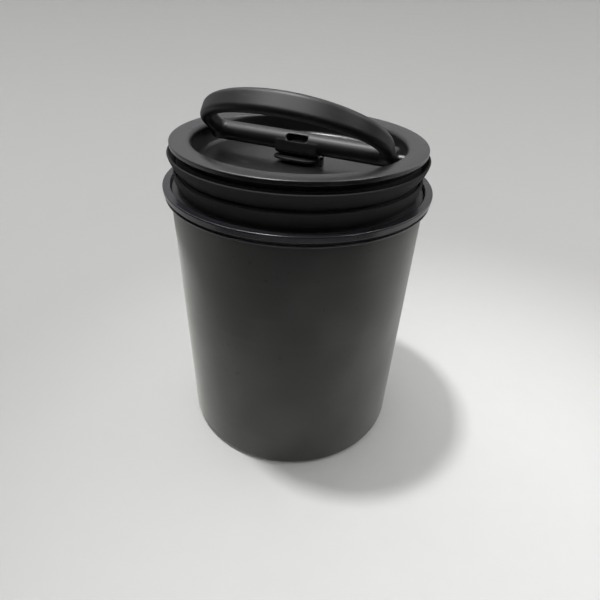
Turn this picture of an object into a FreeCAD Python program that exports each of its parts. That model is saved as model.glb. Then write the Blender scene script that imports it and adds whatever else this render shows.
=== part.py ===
"""Coffee canister with a sliding inner lid, a swinging handle and a cam-worked air valve.

Millimetres. The origin is the centre of the base, +Z is up, the handle's crossbar lies along X
and the handle leans towards -Y. The lid stands in the mouth, above the rim.
"""

import FreeCAD
import Part
import math
import os

from FreeCAD import Vector

# Canister
canister_height = 203.5
body_radius = 87.4
body_wall = 0.5
base_edge_radius = 4.0
foot_width = 10.3
base_rise = 2.0

# Collar on the mouth
collar_overhang = 4.6
collar_depth = 8.4
collar_lip = 0.6
collar_inner_round = 0.45
collar_round = 0.8
collar_taper = 0.3
collar_edge_radius = 0.5
collar_groove_drop = 4.2
collar_groove_width = 2.0
collar_groove_depth = 2.0
collar_rib_radius = 0.45
collar_bead_inset = 0.8
collar_bead_radius = 1.1
collar_foot = 0.6

# Lid shell
lid_stand = 27.5
flange_inset = 2.0
flange_thickness = 2.7
flange_crown = 0.35
flange_edge_radius = 0.8
recess_draft = 1.0
recess_corner_radius = 3.0
recess_lip_radius = 3.6
shell_wall = 2.5
wall_cavity = 3.5
floor_thickness = 2.2
skirt_rib = 1.5
rib_height = 2.1
foot_rib_height = 1.9
post_length = 3.0
post_width = 4.0
post_offset = 4.0
post_clearance = 0.5

# Wiper seals: the upper one fills the bore, the lower one leads it in
seal_clearance = 0.15
lower_seal_inset = 2.8
seal_height = 9.8
seal_reach = 7.25
seal_groove = 3.9
seal_band = 1.8
seal_root = 0.6
seal_lip = 1.2
seal_tip_radius = 0.5
seal_valley = 2.6
seal_bulge = 0.8

# Handle
handle_axis_drop = 3.3
rest_lean_deg = 52.0
handle_side_gap = 4.3
handle_rise = 54.0
handle_leg = 14.0
strap_thickness = 8.2
strap_width = 14.8
leg_width = 9.5
strap_edge_radius = 3.6
crossbar_radius = 6.5
knuckle_proud = 0.8
knuckle_edge_radius = 1.0
slot_length = 15.0
slot_width = 4.8
slot_depth = 7.0

# Cam under the crossbar
cam_length = 30.0
cam_lift = 2.6
cam_nose_radius = 2.0
cam_flank_sink = 0.2
cam_clearance = 0.25

# Pivot pins
pin_radius = 2.3
pin_clearance = 0.05
pin_chamfer = 0.4
pin_in_handle = 9.0
pin_end_play = 0.3
pin_in_shell = 5.5
boss_wall = 2.7

# Valve
cap_length = 31.0
cap_width = 25.2
cap_bow = 2.7
cap_thickness = 1.5
cap_corner_radius = 5.0
cap_boss_radius = 4.5
cap_boss_depth = 3.0
guide_clearance = 0.35
gasket_inner_radius = 7.8
gasket_outer_radius = 10.3
gasket_thickness = 1.0
seat_clearance = 0.25
port_radius = 6.8
stem_radius = 2.0
stem_clearance = 0.08
stem_cover = 0.6
stem_tail = 0.8
washer_radius = 5.5
washer_thickness = 0.6
clip_radius = 4.0
clip_thickness = 0.6
clip_groove_depth = 0.4
clip_gap = 2.0
clip_margin = 0.4

# Spring
spring_mean_radius = 3.7
spring_wire = 0.7
spring_turns = 4.5
spring_end_gap = 0.1

# Cage round the stem, under the floor
cage_wall = 2.0
cage_web = 1.5
cage_foot = 3.2
window_width = 6.0
window_count = 4
window_margin = 1.0

# Underplate and its screws
plate_thickness = 2.5
plate_clearance = 0.3
plate_edge_radius = 0.8
spigot_height = 3.0
spigot_wall = 2.0
spigot_clearance = 0.3
access_radius = 6.0
vent_radius = 1.8
vent_rings = ((15.0, 8), (22.0, 14))
screw_circle_radius = 52.0
screw_count = 4
screw_start_deg = 45.0
screw_radius = 1.5
screw_length = 9.0
screw_head_radius = 2.9
screw_head_height = 1.5
screw_head_clearance = 0.3
screw_recess_width = 0.8
screw_recess_length = 3.2
screw_recess_depth = 0.8
screw_boss_wall = 2.5

# Radii that follow from the bore
collar_radius = body_radius + collar_overhang
foot_inner_radius = body_radius - foot_width
bore_radius = body_radius - body_wall
seal_radius = bore_radius - seal_clearance
flange_radius = seal_radius - flange_inset
skirt_radius = seal_radius - seal_reach
skirt_inner = skirt_radius - shell_wall
recess_wall_outer = skirt_inner - wall_cavity
recess_mouth_radius = recess_wall_outer - shell_wall
recess_radius = recess_mouth_radius - recess_draft
handle_half_span = recess_radius - handle_side_gap
rib_radius = skirt_radius + skirt_rib
plate_radius = bore_radius - plate_clearance
band_radius = skirt_radius + seal_band

# Heights of the lid, from the flange down
flange_top_z = canister_height + lid_stand
flange_bottom_z = flange_top_z - flange_thickness
upper_seal_z = flange_bottom_z - seal_groove - seal_height
lower_seal_z = upper_seal_z - rib_height - seal_height
skirt_bottom_z = lower_seal_z - foot_rib_height
plate_bottom_z = skirt_bottom_z - plate_thickness
handle_axis_z = flange_top_z - handle_axis_drop

# Heights of the valve: the cam turns a quarter turn from open to closed
rest_lean = math.radians(rest_lean_deg)
cam_rate = cam_lift / (math.pi / 2)
cam_reach_rest = crossbar_radius + cam_rate * rest_lean
cap_top_z = handle_axis_z - cam_reach_rest - cam_clearance
cap_bottom_z = cap_top_z - cap_thickness
open_travel = cam_rate * rest_lean
close_travel = cam_lift - open_travel
floor_top_z = cap_bottom_z - close_travel - gasket_thickness - seat_clearance
floor_bottom_z = floor_top_z - floor_thickness
cap_boss_bottom_z = cap_bottom_z - cap_boss_depth
washer_bottom_z = cap_boss_bottom_z - washer_thickness
web_bottom_z = skirt_bottom_z + cage_foot
web_top_z = web_bottom_z + cage_web
clip_top_z = web_bottom_z - open_travel - clip_margin
stem_bottom_z = clip_top_z - clip_thickness - stem_tail
stem_top_z = cap_top_z - stem_cover

X_AXIS = Vector(1, 0, 0)
Z_AXIS = Vector(0, 0, 1)
ORIGIN = Vector(0, 0, 0)
HANDLE_AXIS = Vector(0, 0, handle_axis_z)


def rz(radius, z):
    """A point of a turned profile, in the XZ plane."""
    return Vector(radius, 0, z)


def line(start, end):
    """A straight edge."""
    return Part.LineSegment(start, end).toShape()


def arc(start, middle, end):
    """A round edge through three points."""
    return Part.Arc(start, middle, end).toShape()


def corner_arc(centre, radius, start_deg, end_deg):
    """A round edge in the XZ plane, by its centre, radius and end angles from +X towards +Z."""
    points = []
    for angle_deg in (start_deg, (start_deg + end_deg) / 2, end_deg):
        angle = math.radians(angle_deg)
        points.append(centre + Vector(radius * math.cos(angle), 0, radius * math.sin(angle)))
    return arc(*points)


def bowed(start, end, bulge):
    """A round edge whose middle stands off the chord by bulge, to the right of its direction in XZ."""
    chord = (end - start).normalize()
    side = Vector(chord.z, 0, -chord.x)
    return arc(start, (start + end) / 2 + side * bulge, end)


def polyline(*points):
    """Straight edges from point to point."""
    return [line(a, b) for a, b in zip(points, points[1:])]


def face_of(edges):
    """A flat face inside a closed run of edges."""
    return Part.Face(Part.Wire(Part.__sortEdges__(edges)))


def turned(edges):
    """A solid of revolution about the Z axis."""
    return face_of(edges).revolve(ORIGIN, Z_AXIS, 360)


def rod(radius, bottom_z, top_z, x=0.0, y=0.0):
    """An upright cylinder between two heights."""
    return Part.makeCylinder(radius, top_z - bottom_z, Vector(x, y, bottom_z), Z_AXIS)


def tube(inner, outer, bottom_z, top_z):
    """An upright round tube between two heights."""
    return rod(outer, bottom_z, top_z).cut(rod(inner, bottom_z, top_z))


def bar_x(radius, start_x, end_x):
    """A cylinder along X at the handle's axis."""
    return Part.makeCylinder(radius, end_x - start_x, Vector(start_x, 0, handle_axis_z), X_AXIS)


def block(length, width, bottom_z, top_z, x=0.0, y=0.0):
    """An upright box with its middle at x, y."""
    corner = Vector(x - length / 2, y - width / 2, bottom_z)
    return Part.makeBox(length, width, top_z - bottom_z, corner)


def on_circle(radius, count, start_deg=0.0):
    """Evenly spaced places on a circle about the Z axis."""
    places = []
    for index in range(count):
        angle = math.radians(start_deg + 360.0 * index / count)
        places.append((radius * math.cos(angle), radius * math.sin(angle)))
    return places


def leaned(shape):
    """The shape turned about the handle's axis, from upright to its rest lean."""
    turned_shape = shape.copy()
    turned_shape.rotate(HANDLE_AXIS, X_AXIS, rest_lean_deg)
    return turned_shape


def within_wall(radius, wall):
    """A rounding radius, kept a little under half the wall that it rounds."""
    return min(radius, wall * 0.45)


def make_canister_body():
    """Drawn cup: straight wall, rounded base edge, foot ring and a base pressed up inside it."""
    wall_top_z = canister_height - collar_lip
    mitre = body_wall * (math.sqrt(2) - 1)
    edge_centre = rz(body_radius - base_edge_radius, base_edge_radius)
    rise_start = foot_inner_radius - base_rise
    edges = polyline(
        rz(0, base_rise + body_wall),
        rz(0, base_rise),
        rz(rise_start, base_rise),
        rz(foot_inner_radius, 0),
        rz(edge_centre.x, 0),
    )
    edges.append(corner_arc(edge_centre, base_edge_radius, -90, 0))
    edges += polyline(
        rz(body_radius, base_edge_radius),
        rz(body_radius, wall_top_z),
        rz(bore_radius, wall_top_z),
        rz(bore_radius, base_edge_radius),
    )
    edges.append(corner_arc(edge_centre, base_edge_radius - body_wall, 0, -90))
    edges += polyline(
        rz(edge_centre.x, body_wall),
        rz(foot_inner_radius + mitre, body_wall),
        rz(rise_start + mitre, base_rise + body_wall),
        rz(0, base_rise + body_wall),
    )
    return turned(edges)


def make_rim_collar():
    """Ring over the mouth's edge: flat top, rounded shoulder, a groove with a fine rib and a lower bead."""
    lip_bottom_z = canister_height - collar_lip
    inner_centre = rz(bore_radius + collar_inner_round, canister_height - collar_inner_round)
    round_centre = rz(collar_radius - collar_round, canister_height - collar_round)
    groove_top_z = canister_height - collar_groove_drop
    groove_bottom_z = groove_top_z - collar_groove_width
    groove_radius = collar_radius - collar_groove_depth
    edge_centre = rz(collar_radius - collar_taper - collar_edge_radius, groove_top_z + collar_edge_radius)
    rib_centre = rz(groove_radius, groove_top_z - collar_groove_width / 2)
    bead_radius = collar_radius - collar_bead_inset
    bead_centre = rz(bead_radius - collar_bead_radius, groove_bottom_z)
    bottom_z = canister_height - collar_depth
    edges = [line(rz(bore_radius, lip_bottom_z), rz(bore_radius, inner_centre.z))]
    edges.append(corner_arc(inner_centre, collar_inner_round, 180, 90))
    edges.append(line(rz(inner_centre.x, canister_height), rz(round_centre.x, canister_height)))
    edges.append(corner_arc(round_centre, collar_round, 90, 0))
    edges.append(line(rz(collar_radius, round_centre.z), rz(collar_radius - collar_taper, edge_centre.z)))
    edges.append(corner_arc(edge_centre, collar_edge_radius, 0, -90))
    edges += polyline(
        rz(edge_centre.x, groove_top_z),
        rz(groove_radius, groove_top_z),
        rz(groove_radius, rib_centre.z + collar_rib_radius),
    )
    edges.append(corner_arc(rib_centre, collar_rib_radius, 90, -90))
    edges += polyline(
        rz(groove_radius, rib_centre.z - collar_rib_radius),
        rz(groove_radius, groove_bottom_z),
        rz(bead_radius, groove_bottom_z),
    )
    edges.append(corner_arc(bead_centre, collar_bead_radius, 0, -90))
    edges += polyline(
        rz(bead_centre.x, groove_bottom_z - collar_bead_radius),
        rz(body_radius + collar_foot, bottom_z),
        rz(body_radius, bottom_z),
        rz(body_radius, lip_bottom_z),
        rz(bore_radius, lip_bottom_z),
    )
    return turned(edges)


def shell_profile():
    """Half section of the lid shell: floor, recess wall, flange and skirt with its seal seats."""
    floor_corner = rz(recess_radius - recess_corner_radius, floor_top_z + recess_corner_radius)
    lip_centre = rz(recess_mouth_radius + recess_lip_radius, flange_top_z - recess_lip_radius)
    edge_centre = rz(flange_radius - flange_edge_radius, flange_top_z - flange_edge_radius)
    flange_inner = rz(lip_centre.x, flange_top_z)
    flange_outer = rz(edge_centre.x, flange_top_z)
    edges = [line(rz(port_radius, floor_top_z), rz(floor_corner.x, floor_top_z))]
    edges.append(corner_arc(floor_corner, recess_corner_radius, -90, 0))
    edges.append(line(rz(recess_radius, floor_corner.z), rz(recess_mouth_radius, lip_centre.z)))
    edges.append(corner_arc(lip_centre, recess_lip_radius, 180, 90))
    edges.append(bowed(flange_inner, flange_outer, -flange_crown))
    edges.append(corner_arc(edge_centre, flange_edge_radius, 90, 0))
    edges += polyline(
        rz(flange_radius, edge_centre.z),
        rz(flange_radius, flange_bottom_z),
        rz(skirt_radius, flange_bottom_z),
        rz(skirt_radius, upper_seal_z),
        rz(rib_radius, upper_seal_z),
        rz(rib_radius, upper_seal_z - rib_height),
        rz(skirt_radius, upper_seal_z - rib_height),
        rz(skirt_radius, lower_seal_z),
        rz(rib_radius, lower_seal_z),
        rz(rib_radius, skirt_bottom_z),
        rz(skirt_inner, skirt_bottom_z),
        rz(skirt_inner, flange_bottom_z),
        rz(recess_wall_outer, flange_bottom_z),
        rz(recess_wall_outer, floor_bottom_z),
        rz(port_radius, floor_bottom_z),
        rz(port_radius, floor_top_z),
    )
    return edges


def pin_span(side):
    """Inner and outer end of a pivot pin along X, on the side +1 or -1."""
    inner = handle_half_span + knuckle_proud - pin_in_handle + pin_end_play
    outer = recess_mouth_radius + pin_in_shell
    return min(side * inner, side * outer), max(side * inner, side * outer)


def make_lid_shell():
    """Turned shell with pin bosses in its wall, a post beside the cap and screw bosses."""
    shell = turned(shell_profile())
    boss_radius = pin_radius + boss_wall
    boss_room = tube(recess_mouth_radius + shell_wall / 2, skirt_radius - shell_wall / 2,
                     handle_axis_z - boss_radius, flange_top_z - flange_thickness / 2)
    for side in (-1, 1):
        reach = sorted((side * recess_radius, side * skirt_radius))
        shell = shell.fuse(bar_x(boss_radius, *reach).common(boss_room))
    for x, y in on_circle(screw_circle_radius, screw_count, screw_start_deg):
        shell = shell.fuse(rod(screw_radius + screw_boss_wall, skirt_bottom_z, floor_bottom_z, x, y))
    post_x = cap_length / 2 + guide_clearance + post_length / 2
    post_top_z = handle_axis_z - crossbar_radius - post_clearance
    shell = shell.fuse(block(post_length, post_width, floor_bottom_z, post_top_z, post_x, -post_offset))
    for side in (-1, 1):
        shell = shell.cut(bar_x(pin_radius, *pin_span(side)))
    for x, y in on_circle(screw_circle_radius, screw_count, screw_start_deg):
        shell = shell.cut(rod(screw_radius, skirt_bottom_z, screw_tip_z(), x, y))
    return shell.removeSplitter()


def make_wiper_seal(bottom_z, lip_radius):
    """Soft ring on the skirt: an upright band and a lip that flares up and out to its radius."""
    top_z = bottom_z + seal_height
    lip_start = rz(band_radius + seal_root, bottom_z)
    lip_end = rz(lip_radius, top_z - seal_tip_radius)
    tip_start = rz(lip_radius - seal_tip_radius, top_z)
    edges = [line(rz(skirt_radius, bottom_z), lip_start)]
    edges.append(bowed(lip_start, lip_end, seal_bulge))
    edges.append(corner_arc(rz(tip_start.x, lip_end.z), seal_tip_radius, 0, 90))
    edges += polyline(
        tip_start,
        rz(lip_radius - seal_lip, top_z),
        rz(band_radius, bottom_z + seal_valley),
        rz(band_radius, top_z),
        rz(skirt_radius, top_z),
        rz(skirt_radius, bottom_z),
    )
    return turned(edges)


def arch_outline(inset):
    """Closed arch outline on the handle's axis: two straight legs under half an ellipse."""
    half_span = handle_half_span - inset
    height = handle_rise - handle_leg - inset
    centre = HANDLE_AXIS + Vector(0, 0, handle_leg)
    right = centre + Vector(half_span, 0, 0)
    left = centre - Vector(half_span, 0, 0)
    ellipse = Part.Ellipse(right, centre + Vector(0, 0, height), centre)
    edges = [Part.ArcOfEllipse(ellipse, 0, math.pi).toShape()]
    edges += polyline(left, left - Vector(0, 0, handle_leg), right - Vector(0, 0, handle_leg), right)
    return edges


def make_arch():
    """Broad strap, wider at the top than at its legs, with rounded edges."""
    depth = strap_width * 2
    outline = face_of(arch_outline(0)).cut(face_of(arch_outline(strap_thickness)))
    outline.translate(Vector(0, -depth / 2, 0))
    band = outline.extrude(Vector(0, depth, 0))
    slope = (strap_width - leg_width) / 2 / handle_rise
    top = handle_rise + strap_thickness
    start = HANDLE_AXIS - X_AXIS * (handle_half_span * 2)
    side = Part.makePolygon([
        start + Vector(0, -leg_width / 2, 0),
        start + Vector(0, leg_width / 2, 0),
        start + Vector(0, leg_width / 2 + slope * top, top),
        start + Vector(0, -leg_width / 2 - slope * top, top),
        start + Vector(0, -leg_width / 2, 0),
    ])
    strap = band.common(Part.Face(side).extrude(X_AXIS * handle_half_span * 4))
    long_edges = []
    for edge in strap.Edges:
        ends_at_axis = all(abs(vertex.Z - handle_axis_z) < 1e-6 for vertex in edge.Vertexes)
        runs_across = abs(edge.Vertexes[0].Y + edge.Vertexes[-1].Y) < 1e-6
        if not ends_at_axis and not runs_across:
            long_edges.append(edge)
    return strap.makeFillet(within_wall(strap_edge_radius, strap_thickness), long_edges)


def cam_point(turn):
    """Point of the cam that touches the cap once the handle has turned by this angle from upright."""
    reach = crossbar_radius + cam_rate * turn
    y = -reach * math.sin(turn) - cam_rate * math.cos(turn)
    z = -reach * math.cos(turn) + cam_rate * math.sin(turn)
    return HANDLE_AXIS + Vector(0, y, z)


def cam_flank(nose_centre):
    """Start of the cam's flat flank on the nose, a point of the nose before it, and its end in the bar."""
    bar_depth = crossbar_radius - cam_flank_sink
    reach = nose_centre - HANDLE_AXIS
    spread = math.acos((bar_depth - cam_nose_radius) / reach.Length)
    way = math.atan2(reach.z, reach.y) - spread
    normal = Vector(0, math.cos(way), math.sin(way))
    half_way = (math.pi + way) / 2
    middle = nose_centre + Vector(0, math.cos(half_way), math.sin(half_way)) * cam_nose_radius
    return nose_centre + normal * cam_nose_radius, middle, HANDLE_AXIS + normal * bar_depth


def make_cam():
    """Lobe on the crossbar whose reach grows evenly with the turn, so a flat cap follows it evenly."""
    steps = 6
    points = [cam_point(math.pi / 2 * step / steps) for step in range(steps + 1)]
    start_tangent = Vector(0, -1, 0)
    end_tangent = Vector(0, 0, 1)
    curve = Part.BSplineCurve()
    curve.interpolate(Points=points, InitialTangent=start_tangent, FinalTangent=end_tangent)
    nose = points[-1]
    nose_centre = nose + Vector(0, cam_nose_radius, 0)
    flank_start, flank_middle, flank_end = cam_flank(nose_centre)
    inner_bottom = Vector(0, 0, points[0].z)
    edges = [curve.toShape(), arc(nose, flank_middle, flank_start)]
    edges += polyline(flank_start, flank_end, HANDLE_AXIS, inner_bottom, points[0])
    profile = face_of(edges)
    profile.translate(Vector(-cam_length / 2, 0, 0))
    return profile.extrude(Vector(cam_length, 0, 0))


def make_slot():
    """Round-ended pocket in the crossbar, open towards the arch."""
    bottom_z = handle_axis_z + crossbar_radius - slot_depth
    top_z = handle_axis_z + crossbar_radius * 2
    end_x = (slot_length - slot_width) / 2
    slot = block(end_x * 2, slot_width, bottom_z, top_z)
    for side in (-1, 1):
        slot = slot.fuse(rod(slot_width / 2, bottom_z, top_z, side * end_x))
    return slot


def make_handle():
    """Arch, crossbar and cam in one moulding, with a slot and two blind pin holes."""
    half_bar = handle_half_span + knuckle_proud
    bar = bar_x(crossbar_radius, -half_bar, half_bar)
    end_edges = [edge for edge in bar.Edges if len(edge.Vertexes) == 1]
    bar = bar.makeFillet(knuckle_edge_radius, end_edges)
    handle = make_arch().fuse(bar).fuse(make_cam()).cut(make_slot())
    for side in (-1, 1):
        hole = sorted((side * (half_bar - pin_in_handle), side * (half_bar + pin_in_handle)))
        handle = handle.cut(bar_x(pin_radius + pin_clearance, *hole))
    return leaned(handle.removeSplitter())


def make_pivot_pin(side):
    """Steel pin, pressed in the shell's boss and running in the handle's knuckle."""
    pin = bar_x(pin_radius, *pin_span(side))
    end_edges = [edge for edge in pin.Edges if len(edge.Vertexes) == 1]
    return pin.makeChamfer(pin_chamfer, end_edges)


def make_valve_cap():
    """Plate under the cam, bowed at its front and rear edges, with a boss for the stem."""
    corner_x = cap_length / 2
    corner_y = cap_width / 2 - cap_bow
    corners = []
    for x, y in ((-corner_x, -corner_y), (corner_x, -corner_y), (corner_x, corner_y), (-corner_x, corner_y)):
        corners.append(Vector(x, y, cap_bottom_z))
    outline = [
        arc(corners[0], Vector(0, -cap_width / 2, cap_bottom_z), corners[1]),
        line(corners[1], corners[2]),
        arc(corners[2], Vector(0, cap_width / 2, cap_bottom_z), corners[3]),
        line(corners[3], corners[0]),
    ]
    plate = face_of(outline).extrude(Z_AXIS * cap_thickness)
    upright = [edge for edge in plate.Edges if abs(edge.tangentAt(edge.FirstParameter).z) > 0.5]
    plate = plate.makeFillet(cap_corner_radius, upright)
    cap = plate.fuse(rod(cap_boss_radius, cap_boss_bottom_z, cap_bottom_z))
    return cap.cut(rod(stem_radius, cap_boss_bottom_z, stem_top_z))


def make_valve_gasket():
    """Flat soft ring on the underside of the cap."""
    return tube(gasket_inner_radius, gasket_outer_radius, cap_bottom_z - gasket_thickness, cap_bottom_z)


def make_valve_stem():
    """Round rod with a groove for the clip."""
    stem = rod(stem_radius, stem_bottom_z, stem_top_z)
    groove = tube(stem_radius - clip_groove_depth, stem_radius * 2, clip_top_z - clip_thickness, clip_top_z)
    return stem.cut(groove)


def make_spring_washer():
    """Upper seat of the spring, against the cap's boss."""
    return tube(stem_radius, washer_radius, washer_bottom_z, cap_boss_bottom_z)


def make_stem_clip():
    """Open ring snapped in the stem's groove."""
    inner = stem_radius - clip_groove_depth
    ring = tube(inner, clip_radius, clip_top_z - clip_thickness, clip_top_z)
    mouth = block(clip_radius * 2, clip_gap, clip_top_z - clip_thickness, clip_top_z, clip_radius)
    return ring.cut(mouth)


def tangent_arc(start, direction, end):
    """Round edge that leaves start along direction and reaches end."""
    chord = end - start
    along = Vector(chord).normalize()
    angle = direction.getAngle(along)
    side = (direction - along * direction.dot(along)).normalize()
    return arc(start, (start + end) / 2 + side * (chord.Length / 2 * math.tan(angle / 2)), end)


def biarc(start, start_way, end, end_way):
    """Two round edges, tangent where they meet, that join two points along the given ways."""
    chord = end - start
    ways = start_way + end_way
    bend = 2 * (1 - start_way.dot(end_way))
    reach = (math.sqrt(chord.dot(ways) ** 2 + bend * chord.dot(chord)) - chord.dot(ways)) / bend
    middle = (start + end + (start_way - end_way) * reach) / 2
    middle_way = (end - middle + (middle - start)) - (start_way + end_way) * reach
    middle_way.normalize()
    return [tangent_arc(start, start_way, middle), tangent_arc(middle, middle_way, end)]


def least_turn_gap(path):
    """Least distance between points of the wire's centre line that lie over half a turn apart."""
    per_turn = 60
    points = path.discretize(Number=round(spring_turns * per_turn) + 1)
    least = path.Length
    for index, point in enumerate(points):
        for other in points[index + per_turn // 2:]:
            least = min(least, point.distanceToPoint(other))
    return least


def make_valve_spring():
    """Round wire wound in an even helix between the cage's web and the washer."""
    wire_radius = spring_wire / 2
    bottom_z = web_top_z + spring_end_gap + wire_radius
    top_z = washer_bottom_z - spring_end_gap - wire_radius
    pitch = (top_z - bottom_z) / spring_turns
    quarters = round(spring_turns * 4)
    climb = pitch / (2 * math.pi * spring_mean_radius)
    points = []
    ways = []
    for index in range(quarters + 1):
        angle = math.pi / 2 * index
        outward = Vector(math.cos(angle), math.sin(angle), 0)
        points.append(outward * spring_mean_radius + Z_AXIS * (bottom_z + pitch * index / 4))
        ways.append((Z_AXIS.cross(outward) + Z_AXIS * climb).normalize())
    edges = []
    for index in range(quarters):
        edges += biarc(points[index], ways[index], points[index + 1], ways[index + 1])
    path = Part.Wire(edges)
    section = Part.Wire(Part.Circle(points[0], ways[0], wire_radius).toShape())
    print("valve_spring least gap between turns: %.3f mm" % (least_turn_gap(path) - spring_wire))
    return path.makePipeShell([section], True, False)


def make_valve_cage():
    """Tube under the floor with air windows, and a web that guides the stem and seats the spring."""
    outer = port_radius + cage_wall
    cage = tube(port_radius, outer, skirt_bottom_z, floor_bottom_z)
    cage = cage.fuse(tube(stem_radius + stem_clearance, port_radius, web_bottom_z, web_top_z))
    window_bottom_z = web_top_z + window_margin
    window_top_z = floor_bottom_z - window_margin
    for index in range(window_count):
        window = block(outer, window_width, window_bottom_z, window_top_z, outer / 2 + stem_radius)
        window.rotate(ORIGIN, Z_AXIS, 360.0 * index / window_count)
        cage = cage.cut(window)
    return cage.removeSplitter()


def make_lid_underplate():
    """Disc that closes the lid and guides it in the bore, with a spigot, air vents and screw holes."""
    plate = rod(plate_radius, plate_bottom_z, skirt_bottom_z)
    rims = [edge for edge in plate.Edges if len(edge.Vertexes) == 1]
    plate = plate.makeFillet(plate_edge_radius, rims)
    spigot_outer = skirt_inner - spigot_clearance
    spigot_top_z = skirt_bottom_z + spigot_height
    plate = plate.fuse(tube(spigot_outer - spigot_wall, spigot_outer, skirt_bottom_z, spigot_top_z))
    plate = plate.cut(rod(access_radius, plate_bottom_z, skirt_bottom_z))
    for ring_radius, count in vent_rings:
        for x, y in on_circle(ring_radius, count):
            plate = plate.cut(rod(vent_radius, plate_bottom_z, skirt_bottom_z, x, y))
    sink_top_z = plate_bottom_z + screw_head_height
    for x, y in on_circle(screw_circle_radius, screw_count, screw_start_deg):
        plate = plate.cut(rod(screw_radius, plate_bottom_z, skirt_bottom_z, x, y))
        plate = plate.cut(rod(screw_head_radius + screw_head_clearance, plate_bottom_z, sink_top_z, x, y))
    return plate


def screw_tip_z():
    """Height of the screws' tips inside their bosses."""
    return plate_bottom_z + screw_head_height + screw_length


def make_underplate_screws():
    """Pan-head screws with a cross recess, from below through the plate into the bosses."""
    head_top_z = plate_bottom_z + screw_head_height
    recess_top_z = plate_bottom_z + screw_recess_depth
    bar_sizes = ((screw_recess_length, screw_recess_width), (screw_recess_width, screw_recess_length))
    screws = []
    for x, y in on_circle(screw_circle_radius, screw_count, screw_start_deg):
        screw = rod(screw_head_radius, plate_bottom_z, head_top_z, x, y)
        screw = screw.fuse(rod(screw_radius, head_top_z, screw_tip_z(), x, y))
        for length, width in bar_sizes:
            screw = screw.cut(block(length, width, plate_bottom_z, recess_top_z, x, y))
        screws.append(screw)
    return Part.makeCompound(screws)


nodes = {
    "canister_body": make_canister_body(),
    "rim_collar": make_rim_collar(),
    "lid_shell": make_lid_shell(),
    "upper_wiper_seal": make_wiper_seal(upper_seal_z, seal_radius),
    "lower_wiper_seal": make_wiper_seal(lower_seal_z, seal_radius - lower_seal_inset),
    "lid_underplate": make_lid_underplate(),
    "underplate_screws": make_underplate_screws(),
    "handle": make_handle(),
    "pivot_pin_left": make_pivot_pin(-1),
    "pivot_pin_right": make_pivot_pin(1),
    "valve_cap": make_valve_cap(),
    "valve_gasket": make_valve_gasket(),
    "valve_stem": make_valve_stem(),
    "spring_washer": make_spring_washer(),
    "stem_clip": make_stem_clip(),
    "valve_spring": make_valve_spring(),
    "valve_cage": make_valve_cage(),
}

os.makedirs("parts", exist_ok=True)
for name, shape in nodes.items():
    shape.exportStep("parts/%s.step" % name)
    state = "valid" if shape.isValid() else "INVALID"
    print(name, state, len(shape.Solids), "solids", round(shape.Volume, 1))
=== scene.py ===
"""Coffee canister with a sliding lid: turned and moulded pieces, their finishes, light and camera."""

import math

import bpy
import numpy as np
from bpy.props import FloatProperty, FloatVectorProperty, IntProperty, PointerProperty
from mathutils import Matrix, Vector


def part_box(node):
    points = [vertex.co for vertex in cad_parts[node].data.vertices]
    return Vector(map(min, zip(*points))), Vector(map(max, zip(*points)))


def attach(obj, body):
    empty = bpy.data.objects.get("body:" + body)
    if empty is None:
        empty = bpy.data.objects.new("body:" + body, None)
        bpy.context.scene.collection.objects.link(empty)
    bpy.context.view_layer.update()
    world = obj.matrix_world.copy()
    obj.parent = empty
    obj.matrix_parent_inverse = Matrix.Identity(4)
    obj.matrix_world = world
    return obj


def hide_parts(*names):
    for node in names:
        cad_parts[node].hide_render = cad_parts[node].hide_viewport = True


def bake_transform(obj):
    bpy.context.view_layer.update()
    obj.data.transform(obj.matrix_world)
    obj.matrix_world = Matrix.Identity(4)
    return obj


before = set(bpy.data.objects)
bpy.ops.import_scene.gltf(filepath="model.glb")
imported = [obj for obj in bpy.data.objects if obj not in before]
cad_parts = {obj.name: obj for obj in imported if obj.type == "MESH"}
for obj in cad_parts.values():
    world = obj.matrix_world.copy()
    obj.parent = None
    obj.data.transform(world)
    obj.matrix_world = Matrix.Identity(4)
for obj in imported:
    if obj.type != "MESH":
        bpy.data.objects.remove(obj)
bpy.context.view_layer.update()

bl_info = {
    "name": "Coffee canister",
    "version": (1, 0, 0),
    "blender": (4, 5, 0),
    "location": "3D View > Sidebar > Canister",
    "description": "Dresses the coffee canister and its lid with fine shapes and finishes",
    "category": "Object",
}

# Shading is sharp past this angle
CREASE = math.radians(40)

# Facets round the pins, the cap's boss and the floor, and the turn of each facet in the floor's bend
PIN_SEGMENTS = 64
BOSS_SEGMENTS = 72
FLOOR_SEGMENTS = 128
FLOOR_STEP = math.radians(1.5)


def size(name, description, default):
    """A length that a user may change, in metres."""
    return FloatProperty(name=name, description=description, default=default, min=0.0,
                         precision=5, unit="LENGTH", subtype="DISTANCE")


def angle(name, description, degrees):
    """An angle that a user may change."""
    return FloatProperty(name=name, description=description, default=math.radians(degrees),
                         subtype="ANGLE", unit="ROTATION")


def tone(name, description, default):
    """A colour that a user may change."""
    return FloatVectorProperty(name=name, description=description, default=default,
                               size=3, min=0.0, max=1.0, subtype="COLOR")


def where(name, description, default):
    """A place that a user may change, in metres."""
    return FloatVectorProperty(name=name, description=description, default=default,
                               size=3, subtype="TRANSLATION", unit="LENGTH")


def power(name, description, default):
    """A lamp's power that a user may change, in watts."""
    return FloatProperty(name=name, description=description, default=default, min=0.0,
                         subtype="POWER", unit="POWER")


def amount(name, description, default, least=0.0):
    """A plain number that a user may change."""
    return FloatProperty(name=name, description=description, default=default, min=least)


def low(solid, axis):
    """Lowest coordinate of a CAD solid at rest."""
    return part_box(solid)[0][axis]


def high(solid, axis):
    """Highest coordinate of a CAD solid at rest."""
    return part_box(solid)[1][axis]


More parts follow.
